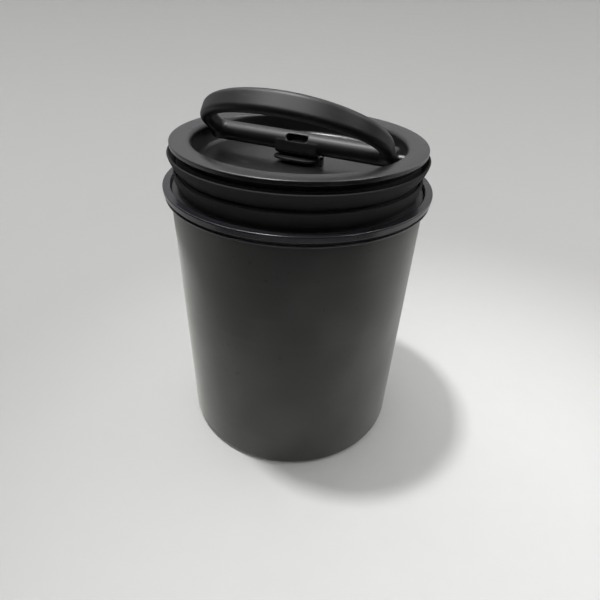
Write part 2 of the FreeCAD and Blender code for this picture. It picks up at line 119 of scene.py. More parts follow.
class CanisterBodySizes(bpy.types.PropertyGroup):
    """Drawn steel cup."""
    radius: size("Radius", "Outside radius of the wall", high("canister_body", 0))
    height: size("Height", "Height of the wall's upper edge", high("canister_body", 2))
    wall: size("Wall", "Thickness of the steel", 0.0005)
    base_edge: size("Base edge", "Rounding of the wall into the base", 0.004)
    foot_width: size("Foot width", "From the wall in to the foot ring's inner edge", 0.0103)
    base_rise: size("Base rise", "Height that the base is pressed up", 0.002)
    base_press: size("Base press", "Rounding of the step round the pressed-up base", 0.0012)


class CanisterCollarSizes(bpy.types.PropertyGroup):
    """Ring on the mouth."""
    radius: size("Radius", "Outside radius", high("rim_collar", 0))
    top: size("Top", "Height of the upper edge", high("rim_collar", 2))
    bottom: size("Bottom", "Height of the lower edge", low("rim_collar", 2))
    lip: size("Lip", "Thickness over the wall's edge", 0.0006)
    inner_round: size("Inner round", "Rounding of the top into the bore", 0.00045)
    shoulder: size("Shoulder", "Rounding of the shoulder", 0.0008)
    taper: size("Taper", "How far the outer face draws in towards the groove", 0.0003)
    edge: size("Edge", "Rounding of the outer face's lower edge", 0.0005)
    groove_drop: size("Groove drop", "From the top down to the groove", 0.0042)
    groove_width: size("Groove width", "Height of the groove", 0.0020)
    groove_depth: size("Groove depth", "Depth of the groove", 0.0020)
    rib: size("Rib", "Half height of the fine rib in the groove", 0.00045)
    bead_inset: size("Bead inset", "How far the lower bead stands back", 0.0008)
    bead: size("Bead", "Rounding under the lower bead", 0.0011)
    foot: size("Foot", "Width of the foot against the wall", 0.0006)


class CanisterLidSizes(bpy.types.PropertyGroup):
    """Shell of the lid."""
    flange_radius: size("Flange radius", "Outside radius of the flange", high("lid_shell", 0))
    top: size("Top", "Height of the flange's top", high("lid_shell", 2))
    bottom: size("Bottom", "Height of the skirt's lower edge", low("lid_shell", 2))
    flange_thickness: size("Flange thickness", "Thickness of the flange", 0.0027)
    flange_crown: size("Flange crown", "Rise in the middle of the flange", 0.00035)
    flange_edge: size("Flange edge", "Rounding of the flange's outer edge", 0.0008)
    mouth_radius: size("Mouth radius", "Radius of the recess at the flange", 0.071)
    recess_radius: size("Recess radius", "Radius of the recess at its floor", 0.070)
    recess_corner: size("Recess corner", "Rounding of the wall into the floor", 0.003)
    recess_lip: size("Recess lip", "Rounding of the flange into the recess", 0.0036)
    floor_top: size("Floor top", "Height of the recess floor", 0.2156)
    floor_thickness: size("Floor thickness", "Thickness of the floor", 0.0022)
    wall: size("Wall", "Thickness of the recess wall and the skirt", 0.0025)
    skirt_radius: size("Skirt radius", "Outside radius of the skirt", 0.0795)
    rib: size("Rib", "Reach of the ribs under the seals", 0.0015)
    port_radius: size("Port radius", "Radius of the air port", 0.0068)
    post_length: size("Post length", "Length of the post beside the cap", 0.003)
    post_width: size("Post width", "Width of the post beside the cap", 0.004)
    post_offset: size("Post offset", "From the crossbar's line forward to the post", 0.004)
    post_gap: size("Post gap", "From the cap to the post", 0.00035)
    post_top: size("Post top", "Height of the post's top", 0.2207)


class CanisterSealSizes(bpy.types.PropertyGroup):
    """Soft rings on the skirt."""
    band: size("Band", "Thickness of the upright band", 0.0018)
    root: size("Root", "Thickness of the lip at its root", 0.0006)
    lip: size("Lip", "Thickness of the lip at its tip", 0.0012)
    tip: size("Tip", "Rounding of the lip's tip", 0.0005)
    valley: size("Valley", "From the root up to the bottom of the valley", 0.0026)
    bulge: size("Bulge", "How far the lip's face bows out", 0.0008)


class CanisterHandleSizes(bpy.types.PropertyGroup):
    """Arch, crossbar, cam and pins."""
    axis_height: size("Axis height", "Height of the crossbar's axis", 0.2277)
    lean: angle("Lean", "Turn from upright to where the handle rests", 52)
    half_span: size("Half span", "From the middle to the arch's outer face", 0.0657)
    rise: size("Rise", "From the axis to the top of the arch", 0.054)
    leg: size("Leg", "Straight length of a leg", 0.014)
    thickness: size("Thickness", "Thickness of the strap", 0.0082)
    width: size("Width", "Width of the strap at the top of the arch", 0.0148)
    leg_width: size("Leg width", "Width of a leg at the axis", 0.0095)
    edge: size("Edge", "Rounding of the strap's long edges", 0.0037)
    bar_radius: size("Bar radius", "Radius of the crossbar", 0.0065)
    bar_proud: size("Bar proud", "How far the crossbar stands out of the legs", 0.0008)
    bar_edge: size("Bar edge", "Rounding of the crossbar's ends", 0.001)
    root_blend: size("Root blend", "Softness where the legs run into the crossbar", 0.0024)
    slot_length: size("Slot length", "Length of the slot", 0.015)
    slot_width: size("Slot width", "Width of the slot", 0.0048)
    slot_depth: size("Slot depth", "Depth of the slot", 0.007)
    cam_length: size("Cam length", "Length of the cam", 0.030)
    cam_lift: size("Cam lift", "Growth of the cam's reach over a quarter turn", 0.0026)
    cam_nose: size("Cam nose", "Rounding of the cam's nose", 0.002)
    pin_radius: size("Pin radius", "Radius of a pivot pin", 0.0023)
    pin_hole: size("Pin hole", "Depth of a pin's hole", 0.009)
    skin_step: size("Skin step", "Spacing of the handle's surface points", 0.00055)


class CanisterCapSizes(bpy.types.PropertyGroup):
    """Plate on the valve, and the spring under it."""
    corner: size("Corner", "Rounding of the plate's corners", 0.005)
    bow: size("Bow", "How far the front and rear edges bow out", 0.0027)
    edge: size("Edge", "Rounding of the plate's upper edge", 0.0004)
    thickness: size("Thickness", "Thickness of the plate", 0.0015)
    boss_radius: size("Boss radius", "Radius of the boss under the plate", 0.0045)
    spring_wire: size("Spring wire", "Thickness of the spring's wire", 0.0007)
    spring_turns: amount("Spring turns", "Turns of the spring", 4.5, 1.0)


class CanisterFinishes(bpy.types.PropertyGroup):
    """Colours of the finishes."""
    coat: tone("Coat", "Charcoal coat outside", (0.0150, 0.0150, 0.0148))
    coat_rubbed: tone("Rubbed coat", "Coat where hands have rubbed it", (0.0262, 0.0262, 0.0256))
    gloss: tone("Gloss", "Glossy collar", (0.0022, 0.0022, 0.0030))
    lid: tone("Lid", "Moulded lid", (0.0036, 0.0036, 0.0042))
    handle: tone("Handle", "Moulded handle", (0.0036, 0.0036, 0.0040))
    cap: tone("Cap", "Valve cap", (0.0100, 0.0100, 0.0108))
    rubber: tone("Rubber", "Wiper seals and gasket", (0.0058, 0.0058, 0.0059))
    dust: tone("Dust", "Dust on the seals, mouldings and collar", (0.0520, 0.0505, 0.0470))
    inner: tone("Inner", "Plastic inside the lid", (0.0220, 0.0220, 0.0228))
    steel: tone("Steel", "Bright steel", (0.60, 0.60, 0.61))
    pin: tone("Pin", "Dulled steel of the pivot pins", (0.17, 0.17, 0.165))


class CanisterStageSettings(bpy.types.PropertyGroup):
    """Camera, floor and light. Places are as seen before the camera's turn round the canister."""
    turn: angle("Turn", "Turn of the camera round the canister", 24.5)
    distance: size("Distance", "From the canister's axis to the camera, level", 0.3045)
    camera_height: size("Camera height", "Height of the camera", 0.3106)
    pitch: angle("Pitch", "How far the camera looks down", 34.775)
    yaw: angle("Yaw", "How far the camera looks to the right of the axis", 0.920)
    roll: angle("Roll", "How far the camera is tilted", 2.580)
    focal: amount("Focal length", "Focal length on a 36 mm sensor, in millimetres", 26.69, 1.0)
    floor: tone("Floor", "Floor under the canister", (0.76, 0.76, 0.75))
    backdrop: tone("Backdrop", "Floor and wall further away", (0.46, 0.46, 0.455))
    upper_wall: tone("Upper wall", "Backdrop above the camera's sight", (0.64, 0.64, 0.665))
    bounce: tone("Bounce", "Floor and backdrop as soft light finds them", (0.42, 0.42, 0.415))
    floor_radius: size("Floor radius", "Radius of the floor and its backdrop", 0.85)
    floor_bend: size("Floor bend", "Rounding of the floor up into the backdrop", 0.35)
    wall_height: size("Wall height", "Height of the backdrop round the floor", 1.1)
    wall_low: size("Wall low", "Height where the backdrop's upper colour sets in", 0.36)
    wall_high: size("Wall high", "Height where the backdrop has its upper colour", 0.60)
    # The floor's pale patch is a painted pool of light, palest near its middle
    painted_light_pool_place: where("Patch place", "Middle of the floor's pale patch", (0.14, -0.14, 0.0))
    painted_light_pool_near: size("Patch near", "Radius within which the patch is at its palest", 0.08)
    painted_light_pool_far: size("Patch far", "Radius where the patch has run out", 0.52)
    key_place: where("Key place", "Where the overhead lamp hangs", (-0.376, 0.085, 1.70))
    key_width: size("Key width", "Width of the overhead lamp", 0.12)
    key_power: power("Key power", "Power of the overhead lamp", 16.2)
    side_place: where("Side place", "Where the soft lamp on the right stands", (0.72, 0.18, 0.42))
    side_width: size("Side width", "Width of the soft lamp on the right", 0.6)
    side_power: power("Side power", "Power of the soft lamp on the right", 1.4)
    back_place: where("Back place", "Where the lamp high at the back hangs", (0, 0.62, 1.25))
    back_width: size("Back width", "Width of the lamp high at the back", 1.2)
    back_depth: size("Back depth", "Depth of the lamp high at the back", 0.10)
    back_power: power("Back power", "Power of the lamp high at the back", 3.0)
    spot_distance: size("Spot distance", "From the canister's foot to each small ceiling lamp", 1.7)
    spot_width: size("Spot width", "Width of each small ceiling lamp", 0.05)
    spot_power: power("Spot power", "Power of each small ceiling lamp", 3.0)
    lamp_aim: size("Lamp aim", "Height that the overhead and side lamps point at", 0.12)
    back_aim: size("Back aim", "Height that the lamp at the back points at", 0.22)
    spot_aim: size("Spot aim", "Height that the ceiling lamps point at", 0.20)
    sky: amount("Sky", "Brightness of the soft light from above", 0.64)
    # The apron is a dark sheet seen only in glossy reflections: a painted dark reflection in front of the
    # canister
    apron: tone("Apron", "Dark cloth in front, out of the camera's sight", (0.010, 0.010, 0.010))
    apron_near: size("Apron near", "From the canister's axis to the near edge of the dark cloth", 0.34)
    apron_far: size("Apron far", "From the canister's axis to the upright part of the dark cloth", 0.80)
    apron_height: size("Apron height", "Height of the dark cloth", 1.0)
    apron_lift: size("Apron lift", "From the floor up to the dark cloth that lies on it", 0.0006)
    apron_bend: size("Apron bend", "Rounding of the dark cloth where it turns up", 0.3)
    apron_flare: size("Apron flare", "Height over which the dark cloth widens", 0.12)
    apron_half: angle("Apron half", "Half the turn that the dark cloth covers on the floor", 62)
    screen_half: angle("Screen half", "Half the turn that the dark cloth covers where it stands up", 112)


class CanisterSettings(bpy.types.PropertyGroup):
    """All the sizes and colours."""
    body: PointerProperty(type=CanisterBodySizes)
    collar: PointerProperty(type=CanisterCollarSizes)
    lid: PointerProperty(type=CanisterLidSizes)
    seal: PointerProperty(type=CanisterSealSizes)
    handle: PointerProperty(type=CanisterHandleSizes)
    cap: PointerProperty(type=CanisterCapSizes)
    finish: PointerProperty(type=CanisterFinishes)
    stage: PointerProperty(type=CanisterStageSettings)
    segments: IntProperty(name="Segments", description="Facets round a turned piece", default=288, min=24)


# Outlines and turned pieces

def rounded(corners, closed=True, step=math.radians(8)):
    """Points of an outline whose corners, given as (x, y, rounding), are rounded."""
    points = []
    last = len(corners) - 1
    for index, (x, y, radius) in enumerate(corners):
        here = Vector((x, y))
        if radius == 0 or (not closed and index in (0, last)):
            points.append(here)
            continue
        after = corners[0] if index == last else corners[index + 1]
        way_in = (here - Vector(corners[index - 1][:2])).normalized()
        way_out = (Vector(after[:2]) - here).normalized()
        turn = math.atan2(way_in.x * way_out.y - way_in.y * way_out.x, way_in.dot(way_out))
        start = here - way_in * radius * math.tan(abs(turn) / 2)
        side = math.copysign(radius, turn)
        centre = start + Vector((-way_in.y, way_in.x)) * side
        steps = max(2, math.ceil(abs(turn) / step))
        for number in range(steps + 1):
            spoke = Matrix.Rotation(turn * number / steps, 2) @ (start - centre)
            points.append(centre + spoke)
    return points


def bow(start, end, bulge, steps=12):
    """Points between two ends of a shallow curve that stands off its chord by bulge, to the right."""
    start, end = Vector(start), Vector(end)
    chord = end - start
    side = Vector((chord.y, -chord.x)).normalized()
    points = []
    for number in range(1, steps):
        t = number / steps
        points.append(start + chord * t + side * bulge * 4 * t * (1 - t))
    return points


def held(points, guard, closed):
    """The outline with a holding point close to each end of its longer runs, so flats shade flat."""
    out = []
    count = len(points)
    long_run = guard * 6
    for index, here in enumerate(points):
        out.append(here)
        if index == count - 1 and not closed:
            break
        after = points[(index + 1) % count]
        run = after - here
        if run.length > long_run:
            out.append(here + run.normalized() * guard)
            out.append(after - run.normalized() * guard)
    return out


def mesh_object(name, vertices, faces):
    """A smooth mesh object in the scene, creased where it turns sharply."""
    mesh = bpy.data.meshes.new(name)
    mesh.from_pydata(vertices, [], faces)
    mesh.validate()
    mesh.shade_smooth()
    mesh.set_sharp_from_angle(angle=CREASE)
    piece = bpy.data.objects.new(name, mesh)
    bpy.context.scene.collection.objects.link(piece)
    return piece


def turned_mesh(points, closed, segments, guard=0.00006):
    """Vertices and faces of an outline of (radius, height) points turned round the Z axis.

    The outline runs with the solid on its left, so that the faces look outwards.
    """
    outline = held(points, guard, closed)
    vertices, rings, faces = [], [], []
    for radius, z in outline:
        if radius < 1e-7:
            rings.append([len(vertices)] * segments)
            vertices.append((0.0, 0.0, z))
            continue
        rings.append(list(range(len(vertices), len(vertices) + segments)))
        for number in range(segments):
            a = 2 * math.pi * number / segments
            vertices.append((radius * math.cos(a), radius * math.sin(a), z))
    pairs = list(zip(rings, rings[1:]))
    if closed:
        pairs.append((rings[-1], rings[0]))
    for inner, outer in pairs:
        for number in range(segments):
            after = (number + 1) % segments
            corner = [inner[number], inner[after], outer[after], outer[number]]
            face = [v for i, v in enumerate(corner) if v != corner[i - 1]]
            if len(face) > 2:
                faces.append(face)
    return vertices, faces


def grid_faces(rows, columns, wrapped):
    """Faces between rows of points, closed round from the last column to the first where wrapped."""
    faces = []
    for row in range(rows - 1):
        here = row * columns
        above = here + columns
        for column in range(columns if wrapped else columns - 1):
            after = (column + 1) % columns
            faces.append((here + column, here + after, above + after, above + column))
    return faces


def tube_faces(rows, columns):
    """Faces of a tube given as rows of points round it, with both ends closed."""
    first_end = tuple(reversed(range(columns)))
    last_end = tuple(range((rows - 1) * columns, rows * columns))
    return grid_faces(rows, columns, True) + [first_end, last_end]


def plate_mesh(outline, levels):
    """Vertices and faces of a flat plate: an outline drawn in by each level's inset at its height."""
    count = len(outline)
    vertices = []
    for inset, z in levels:
        for index, here in enumerate(outline):
            way = (outline[(index + 1) % count] - outline[index - 1]).normalized()
            vertices.append((here.x - way.y * inset, here.y + way.x * inset, z))
    return vertices, tube_faces(len(levels), count)


def joined(*meshes):
    """Several lists of vertices and faces as one."""
    vertices, faces = [], []
    for some_vertices, some_faces in meshes:
        base = len(vertices)
        vertices += some_vertices
        faces += [tuple(v + base for v in face) for face in some_faces]
    return vertices, faces


def place_piece(piece, body, slot, solid, *finishes):
    """Gives a piece its finishes and lets it stand for a CAD solid on its body."""
    for name in finishes:
        piece.data.materials.append(finish_named(name))
    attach(piece, body)
    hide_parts(solid)


def refinish(solid, finish):
    """Gives a CAD solid that keeps its shape a better finish."""
    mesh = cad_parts[solid].data
    mesh.materials.clear()
    mesh.materials.append(finish_named(finish))


# Finishes

def new_finish(name):
    """An empty material with a shader, and its node tree."""
    finish = bpy.data.materials.new(name)
    finish.use_nodes = True
    tree = finish.node_tree
    shader = tree.nodes["Principled BSDF"]
    return finish, tree, shader


def node(tree, kind, settings=None, **inputs):
    """A new shader node with its settings and inputs."""
    made = tree.nodes.new("ShaderNode" + kind)
    for key, value in (settings or {}).items():
        setattr(made, key, value)
    dress(tree, made, **inputs)
    return made


def dress(tree, made, **inputs):
    """Sets a node's inputs, whose names have _ for a space, or links them to other nodes' outputs."""
    for key, value in inputs.items():
        fill(tree, made.inputs[key.replace("_", " ")], value)


def fill(tree, socket, value):
    """Sets an input, or links it to another node's output."""
    if isinstance(value, bpy.types.NodeSocket):
        tree.links.new(value, socket)
    else:
        socket.default_value = value


def place_of(tree, stretch=(1, 1, 1)):
    """A point's place on the object in metres, stretched along the axes."""
    place = node(tree, "TexCoord").outputs["Object"]
    if stretch == (1, 1, 1):
        return place
    return node(tree, "Mapping", Vector=place, Scale=stretch).outputs["Vector"]


def noise(tree, place, scale, detail=2.0, roughness=0.5, distortion=0.0):
    """Cloudy pattern between 0 and 1."""
    made = node(tree, "TexNoise", Vector=place, Scale=scale, Detail=detail,
                Roughness=roughness, Distortion=distortion)
    return made.outputs["Fac"]


def spread(tree, value, from_low, from_high, to_low, to_high):
    """A value carried smoothly from one range to another."""
    made = node(tree, "MapRange", {"interpolation_type": "SMOOTHSTEP"}, Value=value, From_Min=from_low,
                From_Max=from_high, To_Min=to_low, To_Max=to_high)
    return made.outputs["Result"]


def sums(tree, operation, first, second):
    """One sum of two values."""
    made = node(tree, "Math", {"operation": operation})
    fill(tree, made.inputs[0], first)
    fill(tree, made.inputs[1], second)
    return made.outputs["Value"]


def scaled(colour, factor):
    """A colour made darker or lighter."""
    return tuple(value * factor for value in colour)


def blend(tree, factor, first, second):
    """A colour between two colours."""
    made = node(tree, "Mix", {"data_type": "RGBA"})
    fill(tree, made.inputs[0], factor)
    for index, colour in ((6, first), (7, second)):
        linked = isinstance(colour, bpy.types.NodeSocket)
        fill(tree, made.inputs[index], colour if linked else (*colour, 1.0))
    return made.outputs[2]


def relief(tree, height, strength, distance):
    """A bumped normal."""
    return node(tree, "Bump", Height=height, Strength=strength, Distance=distance).outputs["Normal"]


def ring_place(tree, along, across):
    """A place stretched round the Z axis, for marks left by turning or wiping round a piece."""
    parts = node(tree, "SeparateXYZ", Vector=place_of(tree)).outputs
    squares = sums(tree, "ADD", sums(tree, "MULTIPLY", parts["X"], parts["X"]),
                   sums(tree, "MULTIPLY", parts["Y"], parts["Y"]))
    radius = sums(tree, "POWER", squares, 0.5)
    made = node(tree, "CombineXYZ", X=sums(tree, "MULTIPLY", parts["X"], along),
                Y=sums(tree, "MULTIPLY", parts["Y"], along),
                Z=sums(tree, "MULTIPLY", sums(tree, "ADD", parts["Z"], radius), across))
    return made.outputs["Vector"]


def height_of(tree):
    """A point's height in metres."""
    return node(tree, "SeparateXYZ", Vector=place_of(tree)).outputs["Z"]


def coat_finish(name, tones):
    """Matt powder coat: fine grain, rubbed patches, and a scuffed lower edge."""
    finish, tree, shader = new_finish(name)
    place = place_of(tree)
    grain = noise(tree, place, 2300, 3, 0.6)
    rubbed = noise(tree, place_of(tree, (1, 1, 0.7)), 24, 1.5, 0.5)
    wiped = noise(tree, ring_place(tree, 6, 140), 1, 4, 0.6)
    scuff = sums(tree, "MULTIPLY", spread(tree, height_of(tree), 0.001, 0.007, 1, 0),
                 spread(tree, noise(tree, place, 420, 4), 0.45, 0.7, 0, 1))
    patches = sums(tree, "ADD", spread(tree, rubbed, 0.36, 0.70, 0, 0.8),
                   spread(tree, wiped, 0.5, 0.8, 0, 0.3))
    worn = blend(tree, sums(tree, "ADD", patches, scuff), tones.coat, tones.coat_rubbed)
    specks = spread(tree, noise(tree, place, 260, 1), 0.73, 0.76, 0, 0.8)
    dress(tree, shader, Base_Color=blend(tree, specks, worn, tones.gloss),
          Roughness=spread(tree, patches, 0, 1, 0.46, 0.38),
          Normal=relief(tree, grain, 0.15, 0.00006),
          Specular_IOR_Level=0.34, Sheen_Weight=0.47, Sheen_Roughness=0.45,
          Sheen_Tint=(1.0, 1.0, 0.95, 1.0))
    return finish


def gloss_finish(name, tones):
    """Glossy moulded ring with fine wiping marks and a few specks of dust."""
    finish, tree, shader = new_finish(name)
    place = place_of(tree)
    wiped = noise(tree, ring_place(tree, 14, 900), 1, 5, 0.65)
    dusty = spread(tree, noise(tree, place, 900, 2), 0.70, 0.78, 0, 0.7)
    dress(tree, shader, Base_Color=blend(tree, dusty, tones.gloss, tones.dust),
          Roughness=sums(tree, "ADD", spread(tree, wiped, 0.4, 0.75, 0.022, 0.055),
                         sums(tree, "MULTIPLY", dusty, 0.3)),
          Normal=relief(tree, noise(tree, place, 160, 2), 0.05, 0.0003))
    return finish


def rubber_finish(name, tones):
    """Soft dark rubber with dust that clings in smudges, and up-facing faces lighter from settled dust and
    a painted highlight.
    """
    finish, tree, shader = new_finish(name)
    smudge = noise(tree, place_of(tree, (1, 1, 1.8)), 62, 6, 0.62, 1.2)
    streak = noise(tree, ring_place(tree, 20, 420), 1, 4, 0.6)
    grain = noise(tree, place_of(tree), 1900, 3)
    dusty = sums(tree, "MULTIPLY", spread(tree, smudge, 0.42, 0.70, 0, 0.75),
                 spread(tree, streak, 0.3, 0.7, 0.3, 1))
    smudged = blend(tree, dusty, tones.rubber, tones.dust)
    # Painted highlight and settled dust: up-facing faces, such as the lips' top edges, turn lighter
    facing = node(tree, "SeparateXYZ", Vector=node(tree, "TexCoord").outputs["Normal"]).outputs["Z"]
    settled_dust_and_highlight = spread(tree, facing, 0.35, 0.9, 0, 0.9)
    dress(tree, shader, Base_Color=blend(tree, settled_dust_and_highlight, smudged, scaled(tones.dust, 1.8)),
          Roughness=spread(tree, dusty, 0, 0.75, 0.40, 0.66),
          Normal=relief(tree, grain, 0.2, 0.00005),
          Specular_IOR_Level=0.85)
    return finish


def moulded_finish(name, tones, tone_name, stretch, roughness, shine):
    """Satin moulded plastic: fine spark texture, faint wiping marks along the piece and light dust."""
    finish, tree, shader = new_finish(name)
    place = place_of(tree)
    grain = noise(tree, place, 3100, 2, 0.6)
    wiped = noise(tree, place_of(tree, stretch), 1, 5, 0.62, 0.2)
    cloud = noise(tree, place, 46, 5, 0.6, 0.5)
    specks = spread(tree, noise(tree, place, 1300, 1), 0.74, 0.80, 0, 0.6)
    marks = sums(tree, "ADD", spread(tree, wiped, 0.5, 0.74, 0, 0.12),
                 spread(tree, cloud, 0.5, 0.75, 0, 0.10))
    dusty = sums(tree, "ADD", marks, specks)
    dress(tree, shader, Base_Color=blend(tree, dusty, getattr(tones, tone_name), tones.dust),
          Roughness=spread(tree, marks, 0, 0.22, roughness, roughness + 0.12),
          Normal=relief(tree, grain, 0.2, 0.00004),
          Specular_IOR_Level=shine)
    return finish


def steel_finish(name, tones, tone_name, roughness, brushed_round):
    """Steel with fine marks along its brushing."""
    finish, tree, shader = new_finish(name)
    colour = getattr(tones, tone_name)
    place = ring_place(tree, 12, 2600) if brushed_round else place_of(tree, (2600, 240, 240))
    marks = noise(tree, place, 1, 4, 0.7)
    dress(tree, shader, Base_Color=blend(tree, marks, scaled(colour, 0.78), colour),
          Roughness=spread(tree, marks, 0.3, 0.7, roughness, roughness + 0.14),
          Normal=relief(tree, marks, 0.12, 0.00003),
          Metallic=1.0)
    return finish


# Each finish: its maker, then for mouldings the colour, stretch of the wiping marks, roughness and shine,
# and for steels the colour, roughness and whether the brushing runs round the piece
FINISHES = {
    "charcoal_coat": (coat_finish,),
    "collar_gloss": (gloss_finish,),
    "seal_rubber": (rubber_finish,),
    "lid_moulding": (moulded_finish, "lid", (70, 70, 210), 0.33, 0.88),
    "handle_moulding": (moulded_finish, "handle", (24, 520, 520), 0.45, 0.56),
    "cap_moulding": (moulded_finish, "cap", (160, 160, 400), 0.34, 0.6),
    "inner_moulding": (moulded_finish, "inner", (80, 80, 80), 0.45, 0.5),
    "brushed_steel": (steel_finish, "steel", 0.29, True),
    "bright_steel": (steel_finish, "steel", 0.29, False),
    "pin_steel": (steel_finish, "pin", 0.40, False),
}


def finish_named(name):
    """The finish of that name, made on its first use."""
    made = bpy.data.materials.get(name)
    if made is not None:
        return made
    maker, *details = FINISHES[name]
    return maker(name, bpy.context.scene.canister.finish, *details)


# Pieces

def body_outline(sizes):
    """Section of the cup, from the middle of the base round the outside and down the bore."""
    foot = sizes.radius - sizes.foot_width
    rise = foot - sizes.base_rise
    bore = sizes.radius - sizes.wall
    mitre = sizes.wall * (math.sqrt(2) - 1)
    outside = rounded([
        (0.0, sizes.base_rise, 0),
        (rise, sizes.base_rise, sizes.base_press),
        (foot, 0.0, sizes.base_press),
        (sizes.radius, 0.0, sizes.base_edge),
        (sizes.radius, sizes.height, 0),
    ], closed=False)
    inside = rounded([
        (bore, sizes.height, 0),
        (bore, sizes.wall, sizes.base_edge - sizes.wall),
        (foot + mitre, sizes.wall, sizes.base_press),
        (rise + mitre, sizes.base_rise + sizes.wall, sizes.base_press),
        (0.0, sizes.base_rise + sizes.wall, 0),
    ], closed=False)
    return outside, inside


class CANISTER_OT_body(bpy.types.Operator):
    """Make the drawn steel cup, coated outside and bare brushed steel inside"""
    bl_idname = "canister.body"
    bl_label = "Canister body"

    def execute(self, context):
        settings = context.scene.canister
        outside, inside = body_outline(settings.body)
        mesh = turned_mesh(outside + inside, False, settings.segments)
        cup = mesh_object("canister_cup", *mesh)
        place_piece(cup, "canister", "canister_coat", "canister_body", "charcoal_coat", "brushed_steel")
        # Bare steel shows inside, and under the base within its foot ring
        lowest_bare = 0.0004
        bore = settings.body.radius - settings.body.wall + 1e-5
        for face in cup.data.polygons:
            turned_in = Vector(face.center[:2]).length < bore and face.normal.dot(face.center) < 0
            bare = turned_in or face.normal.z > 0.3
            face.material_index = int(bare and face.center.z > lowest_bare)
        return {"FINISHED"}


def collar_outline(sizes, wall, bore):
    """Section of the collar: flat top, shoulder, groove with its rib, bead and foot."""
    soft = 0.0002
    groove_top = sizes.top - sizes.groove_drop
    groove_bottom = groove_top - sizes.groove_width
    groove_radius = sizes.radius - sizes.groove_depth
    rib_middle = groove_top - sizes.groove_width / 2
    rib_radius = groove_radius + sizes.rib
    bead_radius = sizes.radius - sizes.bead_inset
    bead_bottom = groove_bottom - sizes.bead
    return rounded([
        (bore, sizes.top - sizes.lip, 0),
        (bore, sizes.top, sizes.inner_round),
        (sizes.radius, sizes.top, sizes.shoulder),
        (sizes.radius, sizes.top - sizes.shoulder * 1.1, 0),
        (sizes.radius - sizes.taper, groove_top, sizes.edge),
        (groove_radius, groove_top, soft),
        (groove_radius, rib_middle + sizes.rib, 0),
        (rib_radius, rib_middle + sizes.rib, sizes.rib * 0.9),
        (rib_radius, rib_middle - sizes.rib, sizes.rib * 0.9),
        (groove_radius, rib_middle - sizes.rib, 0),
        (groove_radius, groove_bottom, soft),
        (bead_radius, groove_bottom, soft),
        (bead_radius, bead_bottom, sizes.bead * 0.7),
        (wall + sizes.foot, sizes.bottom, soft),
        (wall, sizes.bottom, 0),
        (wall, sizes.top - sizes.lip, 0),
    ])[::-1]


class CANISTER_OT_collar(bpy.types.Operator):
    """Make the glossy ring on the mouth"""
    bl_idname = "canister.collar"
    bl_label = "Rim collar"

    def execute(self, context):
        settings = context.scene.canister
        wall = settings.body.radius
        outline = collar_outline(settings.collar, wall, wall - settings.body.wall)
        collar = mesh_object("mouth_collar", *turned_mesh(outline, True, settings.segments))
        place_piece(collar, "canister", "collar_gloss", "rim_collar", "collar_gloss")
        return {"FINISHED"}


def lid_outline(sizes, upper_bottom, lower_top, lower_bottom):
    """Section of the lid shell: floor, recess wall, flange, and the skirt with ribs below both seals."""
    soft = 0.0003
    flange_bottom = sizes.top - sizes.flange_thickness
    skirt_inner = sizes.skirt_radius - sizes.wall
    recess_outer = sizes.mouth_radius + sizes.wall
    floor_bottom = sizes.floor_top - sizes.floor_thickness
    rib = sizes.skirt_radius + sizes.rib
    inner = rounded([
        (sizes.port_radius, floor_bottom, 0),
        (sizes.port_radius, sizes.floor_top, soft),
        (sizes.recess_radius, sizes.floor_top, sizes.recess_corner),
        (sizes.mouth_radius, sizes.top, sizes.recess_lip),
        (sizes.flange_radius - sizes.flange_edge, sizes.top, 0),
    ], closed=False)[:-1]
    crown = bow(inner[-1], (sizes.flange_radius - sizes.flange_edge, sizes.top), -sizes.flange_crown)
    outer = rounded([
        (sizes.flange_radius - sizes.flange_edge * 2, sizes.top, 0),
        (sizes.flange_radius, sizes.top, sizes.flange_edge),
        (sizes.flange_radius, flange_bottom, soft),
        (sizes.skirt_radius, flange_bottom, soft),
        (sizes.skirt_radius, upper_bottom, 0),
        (rib, upper_bottom, soft),
        (rib, lower_top, soft),
        (sizes.skirt_radius, lower_top, 0),
        (sizes.skirt_radius, lower_bottom, 0),
        (rib, lower_bottom, soft),
        (rib, sizes.bottom, soft),
        (skirt_inner, sizes.bottom, soft),
        (skirt_inner, flange_bottom, 0),
        (recess_outer, flange_bottom, 0),
        (recess_outer, floor_bottom, soft),
        (sizes.port_radius, floor_bottom, 0),
    ], closed=False)[1:-1]
    return (inner + crown + outer)[::-1]


class CANISTER_OT_lid(bpy.types.Operator):
    """Make the lid's shell with its recess, flange and the post beside the valve cap"""
    bl_idname = "canister.lid"
    bl_label = "Lid shell"

    def execute(self, context):
        settings = context.scene.canister
        sizes = settings.lid
        outline = lid_outline(sizes, low("upper_wiper_seal", 2), high("lower_wiper_seal", 2),
                              low("lower_wiper_seal", 2))
        shell = turned_mesh(outline, True, settings.segments)
        x = high("valve_cap", 0) + sizes.post_gap
        soft = 0.0004
        sunk = 0.0005
        front = -sizes.post_offset - sizes.post_width / 2
        outline = rounded([
            (x, front, soft),
            (x + sizes.post_length, front, soft),
            (x + sizes.post_length, front + sizes.post_width, soft),
            (x, front + sizes.post_width, soft),
        ])
        post = plate_mesh(outline, [(0, sizes.floor_top - sunk), (0, sizes.post_top - soft),
                                    (soft * 0.3, sizes.post_top - soft * 0.3), (soft, sizes.post_top)])
        lid = mesh_object("lid_moulding", *joined(shell, post))
        place_piece(lid, "lid", "lid_plastic", "lid_shell", "lid_moulding")
        return {"FINISHED"}


